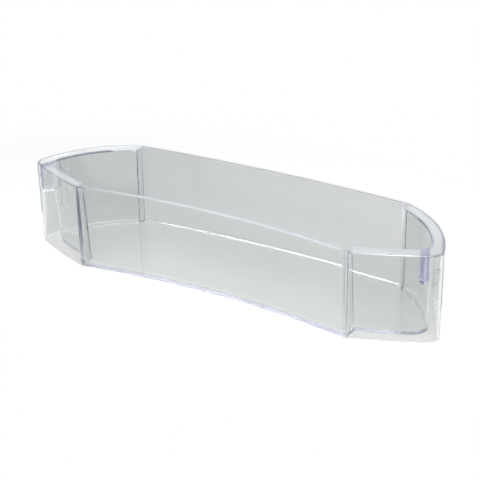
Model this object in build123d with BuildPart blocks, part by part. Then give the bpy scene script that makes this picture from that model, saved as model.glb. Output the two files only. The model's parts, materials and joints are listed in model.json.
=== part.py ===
from build123d import *
from math import radians, tan
import os

# Fridge door shelf: one clear injection-moulded tray that hangs on the door liner.
# X runs along the shelf, -Y is the door side, +Y the front towards the room, +Z is up.
# The door wall bows inwards, the front wall bows outwards, and both ends are double:
# an outer skin, a flat lip and an inner skin make a channel that is open at the bottom.

# Plan of the tray, measured on the outer faces
overall_length = 444.0
overall_depth = 125.8
height = 86.0
door_wall_length = 292.0
door_wall_bow = 12.8
front_wall_length = 302.4
front_wall_bow = 6.6
end_corner_depth = 32.6
end_panel_bow = 2.4
end_arc_bow = 13.9
end_corner_radius = 10.0
front_corner_radius = 6.0
door_corner_radius = 3.0

# Sections
wall = 2.4
floor_thickness = 2.2
outer_skin = 2.2
inner_skin = 2.2
lip_width = 11.6
lip_thickness = 2.4
draft_angle = 1.0
panel_lean_angle = 3.2
end_inside_radius = 13.0
step_floor_radius = 2.2
step_lip_radius = 1.2
floor_fillet = 1.7
rim_radius = 1.6
least_corner_radius = 0.7
foot_chamfer = 0.5

# Hanging lug, web and detent dome inside each end channel, contact pad outside each end corner
lug_width = 8.6
lug_length = 29.0
lug_from_corner = 14.6
web_thickness = 1.6
web_from_corner = 24.3
web_drop = 56.0
detent_radius = 3.6
detent_rise = 1.0
detent_drop = 16.5
pad_rise = 0.6
pad_top_drop = 2.0
pad_bottom_drop = 55.0
pad_reach_panel = 6.0
pad_reach_end = 26.0

# Corner points of the right half, and the slanted panel's own directions
door_y = -overall_depth / 2
front_corner_y = overall_depth / 2 - front_wall_bow
door_corner = Vector(door_wall_length / 2, door_y)
end_corner = Vector(overall_length / 2, door_y + end_corner_depth)
front_corner = Vector(front_wall_length / 2, front_corner_y)
panel_along = (end_corner - door_corner).normalized()
panel_inward = Vector(-panel_along.Y, panel_along.X)
panel_angle = Vector(1, 0).get_signed_angle(panel_along, Vector(0, 0, 1))

# Outer outline in plan, with sharp corners
with BuildSketch() as sharp_outline:
    with BuildLine():
        SagittaArc(door_corner, end_corner, -end_panel_bow)
        SagittaArc(end_corner, front_corner, -end_arc_bow)
        mirror(about=Plane.YZ)
        SagittaArc((-door_corner.X, door_y), door_corner, door_wall_bow)
        SagittaArc((-front_corner.X, front_corner_y), front_corner, front_wall_bow)
    make_face()


def moved_outline(inset: float) -> Sketch:
    """The sharp outline moved inwards by a distance, or outwards where it is negative."""
    with BuildSketch() as moved:
        add(sharp_outline.sketch)
        offset(amount=-inset, kind=Kind.INTERSECTION, mode=Mode.REPLACE)
    return moved.sketch


def corner_radii(inset: float) -> list[float]:
    """The radii of a moved outline's corners, each cut down by the distance that it moved in."""
    radii = [door_corner_radius] * 2 + [end_corner_radius] * 2 + [front_corner_radius] * 2
    return [max(radius - inset, least_corner_radius) for radius in radii]


def rounded(plan: Sketch, radii: list[float]) -> Sketch:
    """A plan with its corners rounded, with one radius for each corner from the door side on."""
    corners = plan.vertices().sort_by(Axis.Y)
    with BuildSketch() as round_plan:
        add(plan)
        for corner, radius in zip(corners, radii):
            nearest = round_plan.vertices().sort_by_distance(corner)[0]
            fillet(nearest, radius=radius)
    return round_plan.sketch


outline = rounded(sharp_outline.sketch, corner_radii(0))
wall_inside = moved_outline(wall)
lip_inside = moved_outline(lip_width)
skin_inside = rounded(moved_outline(outer_skin), corner_radii(outer_skin))
pad_outside = rounded(moved_outline(-pad_rise), corner_radii(-pad_rise))

# The wall turns double at a step beside each door corner and each front corner
wall_corners = wall_inside.vertices().sort_by(Axis.Y)
lip_corners = lip_inside.vertices().sort_by(Axis.Y)
door_step_x = (abs(wall_corners[0].X) + abs(lip_corners[0].X)) / 2
front_step_x = (abs(wall_corners[-1].X) + abs(lip_corners[-1].X)) / 2


def end_zone(beyond_step: float) -> Sketch:
    """The plan of the right double end, from a distance beyond its two steps."""
    with BuildSketch() as zone:
        with Locations((door_step_x + beyond_step, 0)):
            Rectangle(overall_length, overall_depth, align=(Align.MIN, Align.MAX))
        with Locations((front_step_x + beyond_step, 0)):
            Rectangle(overall_length, overall_depth, align=(Align.MIN, Align.MIN))
    return zone.sketch


double_zone = end_zone(0)
channel_zone = end_zone(inner_skin)
draft_slope = tan(radians(draft_angle))
lean_slope = tan(radians(panel_lean_angle))


def skin_plan(inset: float, drop: float) -> Sketch:
    """The plan inside the double ends, at a drop below the rim where they lean in further."""
    drafted = moved_outline(inset + drop * draft_slope)
    with BuildSketch() as plan:
        add(drafted)
        with Locations((0, drop * lean_slope)):
            add(drafted, mode=Mode.INTERSECT)
    return plan.sketch


def hollow_plan(drop: float, step_radii: list[float]) -> Sketch:
    """The plan of the tray's hollow at a drop below the rim.

    It lies a wall's thickness inside the outline on the long sides and a lip's width inside
    it round the ends.
    """
    single_plan = moved_outline(wall + drop * draft_slope)
    double_plan = skin_plan(lip_width, drop)
    with BuildSketch() as end_hollows:
        add(double_zone)
        mirror(about=Plane.YZ)
        add(double_plan, mode=Mode.INTERSECT)
    with BuildSketch() as sharp_hollow:
        add(single_plan)
        add(double_zone, mode=Mode.SUBTRACT)
        mirror(double_zone, about=Plane.YZ, mode=Mode.SUBTRACT)
        add(end_hollows.sketch)
    radii = step_radii + [end_inside_radius] * 2 + step_radii[::-1]
    return rounded(sharp_hollow.sketch, radii)


floor_drop = height - floor_thickness
rim_radii = [step_floor_radius + floor_drop * draft_slope] * 2 + [step_lip_radius] * 2
floor_radii = [step_floor_radius] * 2 + [step_lip_radius + floor_drop * draft_slope] * 2

floor_plan = hollow_plan(floor_drop, floor_radii)
rim_plan = hollow_plan(0, rim_radii)

# The hollow narrows with the draft from the rim to the floor
with BuildPart() as hollow:
    with BuildSketch(Plane.XY.offset(floor_thickness)):
        add(floor_plan)
    with BuildSketch(Plane.XY.offset(height)):
        add(rim_plan)
    loft(ruled=True)
    fillet(hollow.edges().group_by(Axis.Z)[0], radius=floor_fillet)

# The back of the inner skin, which leans like the hollow
back_plans = [skin_plan(lip_width - inner_skin, drop) for drop in (height, 0)]
with BuildPart() as skin_back:
    for level, plan in zip((0, height), back_plans):
        with BuildSketch(Plane.XY.offset(level)) as back_plan:
            add(plan)
            fillet(back_plan.vertices().sort_by(Axis.Y)[2:4], radius=end_inside_radius + inner_skin)
    loft(ruled=True)

# The right hook channel, with its hanging lug, web and detent dome left standing in it
lug_top = end_corner - panel_along * lug_from_corner
lug_plane = Plane((lug_top.X, lug_top.Y, height), x_dir=panel_along, z_dir=-panel_inward)
detent_arc = skin_inside.edges().sort_by(Axis.X)[-1]
detent_foot = detent_arc @ 0.5
detent_inward = (detent_arc.arc_center - detent_foot).normalized()
detent_centre = detent_foot - detent_inward * (detent_radius - detent_rise)
with BuildPart() as channel:
    with BuildSketch():
        add(skin_inside)
        add(channel_zone, mode=Mode.INTERSECT)
    extrude(amount=height - lip_thickness)
    add(skin_back.part, mode=Mode.SUBTRACT)
    with BuildSketch(lug_plane):
        with Locations((0, -(lug_length - lug_width / 2))):
            Circle(lug_width / 2)
            Rectangle(lug_width, lug_length, align=(Align.CENTER, Align.MIN))
    extrude(amount=2 * lip_width, both=True, mode=Mode.SUBTRACT)
    with Locations((end_corner.X, end_corner.Y + web_from_corner, height - web_drop)):
        Box(
            4 * lip_width,
            web_thickness,
            web_drop,
            align=(Align.CENTER, Align.CENTER, Align.MIN),
            mode=Mode.SUBTRACT,
        )
    with Locations((detent_centre.X, detent_centre.Y, height - detent_drop)):
        Sphere(detent_radius, mode=Mode.SUBTRACT)

# The raised contact pad round the right end corner
with BuildPart() as pad:
    with BuildSketch(Plane.XY.offset(height - pad_bottom_drop)):
        with Locations(Location((end_corner.X, end_corner.Y), panel_angle)):
            with Locations((-pad_reach_panel, -end_corner_radius)):
                Rectangle(
                    pad_reach_panel + end_corner_radius,
                    pad_reach_end + end_corner_radius,
                    align=(Align.MIN, Align.MIN),
                )
        add(pad_outside, mode=Mode.INTERSECT)
    extrude(amount=pad_bottom_drop - pad_top_drop)

# The moulding
with BuildPart() as door_shelf:
    with BuildSketch():
        add(outline)
    extrude(amount=height)
    add(pad.part)
    mirror(pad.part, about=Plane.YZ)
    chamfer(door_shelf.edges().group_by(Axis.Z)[0], length=foot_chamfer)
    add(hollow.part, mode=Mode.SUBTRACT)
    add(channel.part, mode=Mode.SUBTRACT)
    mirror(channel.part, about=Plane.YZ, mode=Mode.SUBTRACT)
    rim = door_shelf.faces().sort_by(Axis.Z)[-1]
    fillet(rim.outer_wire().edges(), radius=rim_radius)

door_shelf.part.label = "door_shelf"

os.makedirs("parts", exist_ok=True)
export_step(door_shelf.part, "parts/door_shelf.step")
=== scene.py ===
"""Clear moulded fridge door shelf on a plain pale studio floor."""

import json
import logging
import math
from dataclasses import dataclass, field
from enum import Enum

import bpy
from mathutils import Matrix, Vector

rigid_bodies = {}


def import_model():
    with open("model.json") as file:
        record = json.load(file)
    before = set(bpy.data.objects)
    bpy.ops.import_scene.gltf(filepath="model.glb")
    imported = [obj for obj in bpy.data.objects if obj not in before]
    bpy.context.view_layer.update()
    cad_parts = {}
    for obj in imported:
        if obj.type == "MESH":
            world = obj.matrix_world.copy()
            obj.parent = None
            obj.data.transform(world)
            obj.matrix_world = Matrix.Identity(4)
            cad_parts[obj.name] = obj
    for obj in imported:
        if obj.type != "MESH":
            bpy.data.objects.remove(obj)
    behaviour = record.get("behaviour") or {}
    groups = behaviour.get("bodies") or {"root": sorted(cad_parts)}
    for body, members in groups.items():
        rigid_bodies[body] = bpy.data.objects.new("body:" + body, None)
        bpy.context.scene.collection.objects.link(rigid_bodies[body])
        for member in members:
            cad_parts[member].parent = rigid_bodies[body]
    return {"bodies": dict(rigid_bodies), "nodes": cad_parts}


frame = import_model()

LOG = logging.getLogger("door_shelf_scene")

Colour = tuple[float, float, float]
Point = tuple[float, float, float]
Span = tuple[float, float]
Socket = bpy.types.NodeSocket

WHITE: Colour = (1.0, 1.0, 1.0)
ORIGIN: Point = (0.0, 0.0, 0.0)
UPWARDS: Point = (0.0, 0.0, 1.0)
NONE_TO_ALL: Span = (0.0, 1.0)

# Light is thrown to and fro inside the clear walls many times before it leaves them
BOUNCES = 64

# Several sockets of a Mix node share a name, so those for colours go by number
MIX_SHARE, MIX_FIRST, MIX_SECOND, MIX_RESULT = 0, 6, 7, 2


class LampRole(Enum):
    """What a soft box does in the studio."""

    OVERHEAD = "overhead"
    BACK = "back"


class Slope(Enum):
    """How a value goes from one end of its range to the other."""

    STRAIGHT = "LINEAR"
    SMOOTH = "SMOOTHSTEP"


class NodeSheet:
    """A node tree under construction, with short calls for the nodes that recur."""

    def __init__(self, tree: bpy.types.NodeTree) -> None:
        """Empty the tree and keep it.

        Args:
            tree: The node tree to fill.
        """
        self.tree = tree
        self.tree.nodes.clear()

    def fill(self, target: Socket, value: object) -> None:
        """Link a socket to an input, or set the input's plain value.

        Args:
            target: The input to fill.
            value: A socket to link, or a plain value.
        """
        if isinstance(value, bpy.types.NodeSocket):
            self.tree.links.new(value, target)
        else:
            target.default_value = value

    def add(self, kind: str, **inputs: object) -> bpy.types.Node:
        """Add one node and fill its inputs by name.

        Args:
            kind: The node's type name.
            **inputs: Sockets or values by input name, with underscores for blanks.

        Returns:
            The new node.
        """
        node = self.tree.nodes.new(kind)
        for name, value in inputs.items():
            self.fill(node.inputs[name.replace("_", " ")], value)
        return node

    def feed(self, node: bpy.types.Node, *values: object) -> None:
        """Fill a node's first inputs in their order.

        Args:
            node: The node to fill.
            *values: Sockets or values, from the first input on.
        """
        for target, value in zip(node.inputs, values):
            self.fill(target, value)

    def reckon(self, operation: str, *values: Socket) -> Socket:
        """Work out one value from others.

        Args:
            operation: The Math node's operation.
            *values: The sockets that it takes, in order.

        Returns:
            The socket with the result.
        """
        node = self.add("ShaderNodeMath")
        node.operation = operation
        self.feed(node, *values)
        return node.outputs[0]

    def largest(self, first: Socket, *others: Socket) -> Socket:
        """Pick the largest of several values.

        Args:
            first: The first value's socket.
            *others: The other values' sockets.

        Returns:
            The socket with the largest value.
        """
        top = first
        for other in others:
            top = self.reckon("MAXIMUM", top, other)
        return top

    def parts(self, vector: Socket) -> list[Socket]:
        """Split a vector into its X, Y and Z."""
        return list(self.add("ShaderNodeSeparateXYZ", Vector=vector).outputs)

    def vector(self, operation: str, result: str, *values: object) -> Socket:
        """Work out something from vectors.

        Args:
            operation: The Vector Math node's operation.
            result: The name of the output that holds the result.
            *values: The sockets or vectors that it takes, in order.

        Returns:
            The socket with the result.
        """
        node = self.add("ShaderNodeVectorMath")
        node.operation = operation
        self.feed(node, *values)
        return node.outputs[result]

    def measure(
        self, place: Socket, half: Point, middle: Point = ORIGIN, turn: Point = ORIGIN
    ) -> Socket:
        """Measure a place from the middle of a box, in the box's own half sizes.

        Args:
            place: The socket with the place.
            half: The box's half sizes.
            middle: The box's middle.
            turn: The box's turn about each axis, in radians.

        Returns:
            The socket with the measured place.
        """
        box = self.add(
            "ShaderNodeMapping", Vector=place, Location=middle, Rotation=turn, Scale=half
        )
        box.vector_type = "TEXTURE"
        return box.outputs["Vector"]

    def ramp(
        self,
        value: Socket,
        given: Span,
        wanted: tuple[float | Socket, float] = NONE_TO_ALL,
        slope: Slope = Slope.STRAIGHT,
    ) -> Socket:
        """Carry a value from one range over to another and hold it at both ends.

        Args:
            value: The socket with the value.
            given: The value's own range.
            wanted: What becomes of the range's two ends.
            slope: How the result goes between them.

        Returns:
            The socket with the result.
        """
        node = self.add(
            "ShaderNodeMapRange",
            Value=value,
            From_Min=given[0],
            From_Max=given[1],
            To_Min=wanted[0],
            To_Max=wanted[1],
        )
        node.interpolation_type = slope.value
        return node.outputs["Result"]

    def mix(self, share: Socket, first: Colour | Socket, second: Colour | Socket) -> Socket:
        """Blend two colours by a share.

        Args:
            share: The socket with the second colour's share.
            first: The colour, or its socket, where the share is 0.
            second: The colour, or its socket, where the share is 1.

        Returns:
            The socket with the blend.
        """
        blend = self.add("ShaderNodeMix")
        blend.data_type = "RGBA"
        self.fill(blend.inputs[MIX_SHARE], share)
        for number, colour in ((MIX_FIRST, first), (MIX_SECOND, second)):
            plain = isinstance(colour, tuple)
            self.fill(blend.inputs[number], (*colour, 1.0) if plain else colour)
        return blend.outputs[MIX_RESULT]


@dataclass(frozen=True)
class TintAndPaintedShade:
    """A box in which the tint is deepened with painted shade, alike in both halves of the
    shelf.

    Attributes:
        tint: The painted shade, with any deeper tint of the plastic, inside the box.
        place: The box's middle in the right half, in metres.
        turn: The box's turn about each axis, in radians.
        half: The box's half sizes, in metres.
        edge: The share of the half sizes over which the painted shade fades out.
    """

    tint: Colour
    place: Point
    turn: Point
    half: Point
    edge: float = 0.2

    def over(self, sheet: NodeSheet, halved: Socket, under: Colour | Socket) -> Socket:
        """Lay the tint and painted shade over another.

        Args:
            sheet: The node sheet to add to.
            halved: The socket with the place on the moulding, folded into its right half.
            under: The tint outside the box, or its socket.

        Returns:
            The socket with the tint inside and outside the box.
        """
        inside = sheet.measure(halved, self.half, self.place, self.turn)
        reach = sheet.largest(*sheet.parts(sheet.vector("ABSOLUTE", "Vector", inside)))
        share = sheet.ramp(reach, (1.0, 1.0 - self.edge), slope=Slope.SMOOTH)
        return sheet.mix(share, under, self.tint)


# Partly the thick lug's own violet tint, partly painted shade for the dark of its edges
LUG_TINT_AND_SHADE = TintAndPaintedShade(
    tint=(0.42, 0.40, 0.62),
    place=(0.2063, -0.0307, 0.0735),
    turn=(0.0, 0.0, math.radians(23.2)),
    half=(0.0045, 0.0085, 0.0160),
)
# Painted shade: the dark violet line along the inner edge of each end's lip
LIP_PAINTED_SHADE = TintAndPaintedShade(
    tint=(0.10, 0.105, 0.16),
    place=(0.1915, 0.0085, 0.0848),
    turn=(0.0, 0.0, math.radians(126.0)),
    half=(0.034, 0.006, 0.00115),
)
# Painted shade: the dark line down the step beside the door side at each end
STEP_PAINTED_SHADE = TintAndPaintedShade(
    tint=(0.38, 0.39, 0.46),
    place=(0.1462, -0.0488, 0.0430),
    turn=(math.radians(4.06), 0.0, 0.0),
    half=(0.0018, 0.0016, 0.0390),
)


@dataclass(frozen=True)
class ClearPlastic:
    """Polished clear polystyrene with a faint violet tint that gathers in its edges, and
    painted shade at the lug, the lips and the steps.

    Attributes:
        name: The material's name.
        surface_tint: The tint that light takes on at each face.
        tints_and_painted_shade: The places with painted shade and a deeper tint, each laid
            over those before it.
        edge_tint: The colour that long ways inside the wall leave over.
        edge_density: How soon they do.
        index: The refractive index.
        polish: The roughness where the polish is best and where it is poorest.
        haze_scale: The size of the patches between them, as the noise's scale.
        haze_detail: The noise's detail.
        haze_roughness: The noise's roughness.
        haze_span: The noise's values at the two ends of the polish.
        underside_satin: The roughness of the underside.
        underside_span: The heights where it starts to fade and has gone, in metres.
        rim_satin: The roughness of the rim and the lips.
        rim_span: The heights where it starts and is in full, in metres.
    """

    name: str = "clear_polystyrene"
    surface_tint: Colour = (0.900, 0.917, 0.903)
    tints_and_painted_shade: tuple[TintAndPaintedShade, ...] = (LUG_TINT_AND_SHADE, LIP_PAINTED_SHADE, STEP_PAINTED_SHADE)
    edge_tint: Colour = (0.60, 0.585, 0.82)
    edge_density: float = 7.0
    index: float = 1.58
    polish: Span = (0.015, 0.065)
    haze_scale: float = 38.0
    haze_detail: float = 3.0
    haze_roughness: float = 0.6
    haze_span: Span = (0.35, 0.75)
    underside_satin: float = 0.2
    underside_span: Span = (0.0002, 0.0004)
    rim_satin: float = 0.29
    rim_span: Span = (0.0840, 0.0846)

    def material(self) -> bpy.types.Material:
        """Build the node material.

        Returns:
            The finished material.
        """
        material = bpy.data.materials.new(self.name)
        material.use_nodes = True
        sheet = NodeSheet(material.node_tree)
        place = sheet.add("ShaderNodeTexCoord").outputs["Object"]
        plastic = sheet.add(
            "ShaderNodeBsdfPrincipled",
            Base_Color=self.tint_and_shade_by_place(sheet, place),
            Roughness=self.roughness_by_place(sheet, place),
            IOR=self.index,
            Transmission_Weight=1.0,
        )
        depth = sheet.add(
            "ShaderNodeVolumeAbsorption",
            Color=(*self.edge_tint, 1.0),
            Density=self.edge_density,
        )
        sheet.add(
            "ShaderNodeOutputMaterial",
            Surface=plastic.outputs["BSDF"],
            Volume=depth.outputs["Volume"],
        )
        return material

    def roughness_by_place(self, sheet: NodeSheet, place: Socket) -> Socket:
        """Vary the polish a little, and make the underside, the rim and the lips satin.

        Args:
            sheet: The node sheet to add to.
            place: The socket with the place on the moulding.

        Returns:
            The socket with the roughness.
        """
        haze = sheet.add(
            "ShaderNodeTexNoise",
            Vector=place,
            Scale=self.haze_scale,
            Detail=self.haze_detail,
            Roughness=self.haze_roughness,
        )
        polish = sheet.ramp(haze.outputs["Fac"], self.haze_span, self.polish)
        rise = sheet.parts(place)[2]
        underside = sheet.ramp(rise, self.underside_span, (self.underside_satin, 0.0))
        rim = sheet.ramp(rise, self.rim_span, (0.0, self.rim_satin))
        return sheet.largest(polish, underside, rim)

    def tint_and_shade_by_place(self, sheet: NodeSheet, place: Socket) -> Socket:
        """Lay the painted shade and deeper tints over the surface tint.

        Args:
            sheet: The node sheet to add to.
            place: The socket with the place on the moulding.

        Returns:
            The socket with the tint and painted shade.
        """
        along, across, rise = sheet.parts(place)
        beside = sheet.reckon("ABSOLUTE", along)
        halved = sheet.add("ShaderNodeCombineXYZ", X=beside, Y=across, Z=rise)
        tint: Colour | Socket = self.surface_tint
        # Painted shade: darker tints laid in boxes at the lug, the lips and the steps
        for shade_box in self.tints_and_painted_shade:
            tint = shade_box.over(sheet, halved.outputs["Vector"], tint)
        return tint


@dataclass(frozen=True)
class FloorPaint:
    """Matt white floor paint, shown partly as even white, which lightens its shadows.

    Attributes:
        name: The material's name.
        albedo: The share of light that the paint throws back.
        painted_light_ends: The share of even white, painted light that lifts the shadow, at
            the shelf's two ends.
        painted_light_ends_x: Where along X those ends are, in metres.
        middle: The middle of the oval round the shelf and its shadow, in metres.
        reach: The oval's half sizes, in metres.
        even_span: Where the floor starts to turn all white and is so, in half sizes.
        painted_light_below: The share of even white below the shelf, painted light on the
            ground in its shade.
        foot_reach: The half sizes of the ground below the shelf, in metres.
        foot_span: Where that share starts and is in full, in those half sizes.
    """

    name: str = "white_floor_paint"
    albedo: float = 0.9
    # Painted light: the shadow round the shelf is lifted, more at the shelf's +X end
    painted_light_ends: Span = (0.40, 0.58)
    painted_light_ends_x: Span = (-0.22, 0.22)
    middle: Point = (-0.048, 0.075, 0.0)
    reach: Point = (0.30, 0.17, 1.0)
    even_span: Span = (1.15, 1.7)
    # Painted light: the ground in the shade below the shelf is lifted
    painted_light_below: float = 0.50
    foot_reach: Point = (0.23, 0.068, 1.0)
    foot_span: Span = (1.1, 0.95)

    def material(self) -> bpy.types.Material:
        """Build the node material.

        Returns:
            The finished material.
        """
        material = bpy.data.materials.new(self.name)
        material.use_nodes = True
        sheet = NodeSheet(material.node_tree)
        place = sheet.add("ShaderNodeTexCoord").outputs["Object"]
        even = sheet.largest(self.painted_light_under(sheet, place), self.even_round(sheet, place))
        share = sheet.reckon("MULTIPLY", self.seen(sheet), even)
        paint = sheet.add("ShaderNodeBsdfDiffuse", Color=(self.albedo,) * 3 + (1.0,))
        white = sheet.add("ShaderNodeEmission", Color=(*WHITE, 1.0), Strength=1.0)
        blend = sheet.add("ShaderNodeMixShader")
        sheet.feed(blend, share, paint.outputs["BSDF"], white.outputs["Emission"])
        sheet.add("ShaderNodeOutputMaterial", Surface=blend.outputs["Shader"])
        return material

    def even_round(self, sheet: NodeSheet, place: Socket) -> Socket:
        """Find the share of even white round the shelf, painted light near it, which grows
        to 1 further out.

        Args:
            sheet: The node sheet to add to.
            place: The socket with the place on the floor.

        Returns:
            The socket with the share.
        """
        oval = sheet.measure(place, self.reach, self.middle)
        far = sheet.vector("LENGTH", "Value", oval)
        # Painted light, lifting the shadow more towards the shelf's +X end
        start = sheet.ramp(sheet.parts(place)[0], self.painted_light_ends_x, self.painted_light_ends)
        return sheet.ramp(far, self.even_span, (start, 1.0), Slope.SMOOTH)

    def painted_light_under(self, sheet: NodeSheet, place: Socket) -> Socket:
        """Find the share of even white below the shelf, painted light on the ground in its
        shade.

        Args:
            sheet: The node sheet to add to.
            place: The socket with the place on the floor.

        Returns:
            The socket with the share.
        """
        ground = sheet.parts(sheet.measure(place, self.foot_reach))[:2]
        edge = sheet.largest(*(sheet.reckon("ABSOLUTE", part) for part in ground))
        return sheet.ramp(edge, self.foot_span, (0.0, self.painted_light_below))

    @staticmethod
    def seen(sheet: NodeSheet) -> Socket:
        """Tell rays that show the floor, straight or in the plastic, from those that light.

        Args:
            sheet: The node sheet to add to.

        Returns:
            The socket that is 1 where the floor is shown.
        """
        rays = sheet.add("ShaderNodeLightPath").outputs
        return sheet.largest(
            rays["Is Camera Ray"], rays["Is Glossy Ray"], rays["Is Transmission Ray"]
        )


@dataclass
class DoorShelf:
    """The shelf itself: one moulding, dressed where it stands."""

    node: str = "door_shelf"
    finish: ClearPlastic = field(default_factory=ClearPlastic)

    def dress(self) -> bpy.types.Object:
        """Give the moulding its finish.

        Returns:
            The dressed object.
        """
        moulding = frame["nodes"][self.node]
        material = self.finish.material()
        for slot in moulding.material_slots:
            slot.material = material
        LOG.info("dressed %s with %s", moulding.name, material.name)
        return moulding


@dataclass
class StudioFloor:
    """The flat floor that the shelf stands on, a hair below its foot."""

    half_width: float = 6.0
    gap: float = 0.0004
    paint: FloorPaint = field(default_factory=FloorPaint)

    def build(self) -> bpy.types.Object:
        """Make the floor.

        Returns:
            The floor object.
        """
        turns = ((-1, -1), (1, -1), (1, 1), (-1, 1))
        corners = [(x * self.half_width, y * self.half_width, -self.gap) for x, y in turns]
        mesh = bpy.data.meshes.new("studio_floor")
        mesh.from_pydata(corners, [], [(0, 1, 2, 3)])
        mesh.materials.append(self.paint.material())
        floor = bpy.data.objects.new("studio_floor", mesh)
        bpy.context.scene.collection.objects.link(floor)
        LOG.info("built %s", floor.name)
        return floor


@dataclass
class SoftBox:
    """A rectangular soft lamp that looks at a point and shines on one object only."""

    role: LampRole
    place: Point
    aim: Point
    width: float
    depth: float
    radiance: float

    def build(self, lit: bpy.types.Object) -> bpy.types.Object:
        """Hang the lamp.

        Args:
            lit: The one object that the lamp shines on.

        Returns:
            The lamp object.
        """
        lamp = bpy.data.lights.new(f"softbox_{self.role.value}", "AREA")
        lamp.shape = "RECTANGLE"
        lamp.size = self.width
        lamp.size_y = self.depth
        lamp.energy = self.radiance * math.pi * self.width * self.depth
        box = bpy.data.objects.new(lamp.name, lamp)
        away = (Vector(self.place) - Vector(self.aim)).normalized()
        turn = away.to_track_quat("Z", "Y").to_matrix().to_4x4()
        box.matrix_world = Matrix.Translation(self.place) @ turn
        bpy.context.scene.collection.objects.link(box)
        receivers = bpy.data.collections.new(f"lit_by_{lamp.name}")
        receivers.objects.link(lit)
        box.light_linking.receiver_collection = receivers
        LOG.info("hung %s", box.name)
        return box


# Its mirror image in the rim gives the highlight along the door side
OVERHEAD_BOX = SoftBox(
    role=LampRole.OVERHEAD,
    place=(-0.62, 0.74, 1.15),
    aim=(-0.62, 0.74, 0.0),
    width=0.8,
    depth=0.8,
    radiance=7.5,
)
BACK_BOX = SoftBox(
    role=LampRole.BACK,
    place=(-0.60, 0.95, 0.58),
    aim=(0.0, 0.0, 0.06),
    width=1.6,
    depth=0.7,
    radiance=0.45,
)


@dataclass
class FrontLamp:
    """A small lamp beside the lens that reaches near and far floor alike."""

    place: Point
    strength: float = 71.0
    radius: float = 0.012

    def build(self) -> bpy.types.Object:
        """Hang the lamp.

        Returns:
            The lamp object.
        """
        lamp = bpy.data.lights.new("lamp_front", "POINT")
        lamp.energy = 1.0
        lamp.shadow_soft_size = self.radius
        lamp.cycles.use_multiple_importance_sampling = False
        lamp.use_nodes = True
        sheet = NodeSheet(lamp.node_tree)
        reach = sheet.add("ShaderNodeLightFalloff", Strength=self.strength)
        glow = sheet.add("ShaderNodeEmission", Strength=reach.outputs["Constant"])
        sheet.add("ShaderNodeOutputLight", Surface=glow.outputs["Emission"])
        bulb = bpy.data.objects.new(lamp.name, lamp)
        bulb.matrix_world = Matrix.Translation(self.place)
        bpy.context.scene.collection.objects.link(bulb)
        LOG.info("hung %s", bulb.name)
        return bulb


@dataclass
class Room:
    """The room round the studio: white low down, pale above, dim on the camera's side.

    Attributes:
        towards_camera: The direction from the shelf to the camera.
        pale: The colour behind the shelf.
        dim: The colour on the camera's side.
        climb_span: The rises between which white goes over to those two.
        dim_span: The cosines to that direction where the dim side starts and is in full.
        lighting: The room's strength as light on the floor.
    """

    towards_camera: Vector
    pale: Colour = (0.74, 0.755, 0.755)
    dim: Colour = (0.31, 0.32, 0.35)
    climb_span: Span = (0.16, 0.26)
    dim_span: Span = (-0.35, 0.30)
    lighting: float = 0.88

    def build(self) -> bpy.types.World:
        """Make the world.

        Returns:
            The world.
        """
        world = bpy.data.worlds.new("studio_room")
        world.use_nodes = True
        sheet = NodeSheet(world.node_tree)
        outlook = sheet.add("ShaderNodeTexCoord").outputs["Generated"]
        facing = sheet.vector("DOT_PRODUCT", "Value", outlook, self.towards_camera)
        side = sheet.ramp(facing, self.dim_span, slope=Slope.SMOOTH)
        climb = sheet.ramp(sheet.parts(outlook)[2], self.climb_span, slope=Slope.SMOOTH)
        lighting = sheet.add("ShaderNodeLightPath").outputs["Is Diffuse Ray"]
        light = sheet.add(
            "ShaderNodeBackground",
            Color=sheet.mix(climb, WHITE, sheet.mix(side, self.pale, self.dim)),
            Strength=sheet.ramp(lighting, NONE_TO_ALL, (1.0, self.lighting)),
        )
        sheet.add("ShaderNodeOutputWorld", Surface=light.outputs["Background"])
        bpy.context.scene.world = world
        LOG.info("lit %s", world.name)
        return world


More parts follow.
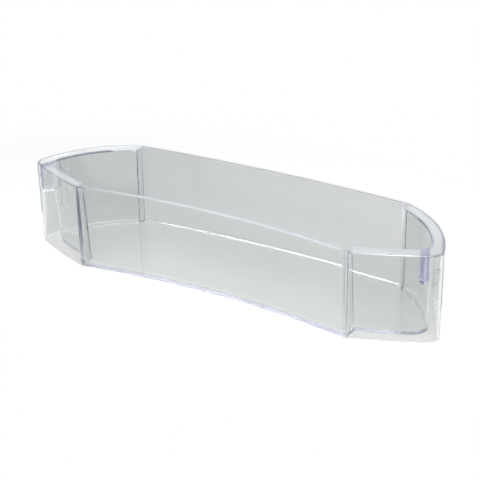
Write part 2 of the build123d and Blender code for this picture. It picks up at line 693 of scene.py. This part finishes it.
@dataclass
class PhotoCamera:
    """The camera at the photograph's place, for a square picture."""

    place: Point = (0.61703, -0.99186, 0.59594)
    yaw: float = math.radians(31.874)
    pitch: float = math.radians(25.604)
    roll: float = math.radians(-1.205)
    lens: float = 100.59
    film: float = 36.0
    nearest: float = 0.01

    def axes(self) -> tuple[Vector, Vector, Vector]:
        """Work out the camera's right, up and back directions.

        Returns:
            Three unit vectors.
        """
        ahead = Vector(
            (
                -math.sin(self.yaw) * math.cos(self.pitch),
                math.cos(self.yaw) * math.cos(self.pitch),
                -math.sin(self.pitch),
            )
        )
        right = ahead.cross(Vector(UPWARDS)).normalized()
        up = right.cross(ahead)
        cosine, sine = math.cos(self.roll), math.sin(self.roll)
        return right * cosine + up * sine, up * cosine - right * sine, -ahead

    def build(self) -> bpy.types.Object:
        """Set up the camera and make it the scene's own.

        Returns:
            The camera object.
        """
        lens = bpy.data.cameras.new("photo_camera")
        lens.sensor_fit = "HORIZONTAL"
        lens.sensor_width = self.film
        lens.lens = self.lens
        lens.clip_start = self.nearest
        camera = bpy.data.objects.new(lens.name, lens)
        turn = Matrix(self.axes()).transposed().to_4x4()
        camera.matrix_world = Matrix.Translation(self.place) @ turn
        bpy.context.scene.collection.objects.link(camera)
        bpy.context.scene.camera = camera
        LOG.info("set %s", camera.name)
        return camera


def clear_start_objects() -> None:
    """Remove what Blender's start file holds beside the loaded frame."""
    kept = set(frame["nodes"].values()) | set(frame["bodies"].values())
    for thing in list(bpy.data.objects):
        if thing not in kept:
            bpy.data.objects.remove(thing)


def main() -> None:
    """Build the scene piece by piece."""
    logging.basicConfig(level=logging.INFO, format="%(name)s: %(message)s")
    clear_start_objects()
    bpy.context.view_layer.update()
    scene = bpy.context.scene
    scene.view_settings.view_transform = "Standard"
    scene.cycles.max_bounces = BOUNCES
    scene.cycles.transmission_bounces = BOUNCES
    scene.cycles.glossy_bounces = BOUNCES
    shelf = DoorShelf().dress()
    StudioFloor().build()
    camera = PhotoCamera()
    camera.build()
    FrontLamp(place=camera.place).build()
    for box in (OVERHEAD_BOX, BACK_BOX):
        box.build(shelf)
    Room(towards_camera=camera.axes()[2]).build()


if __name__ == "__main__":
    main()
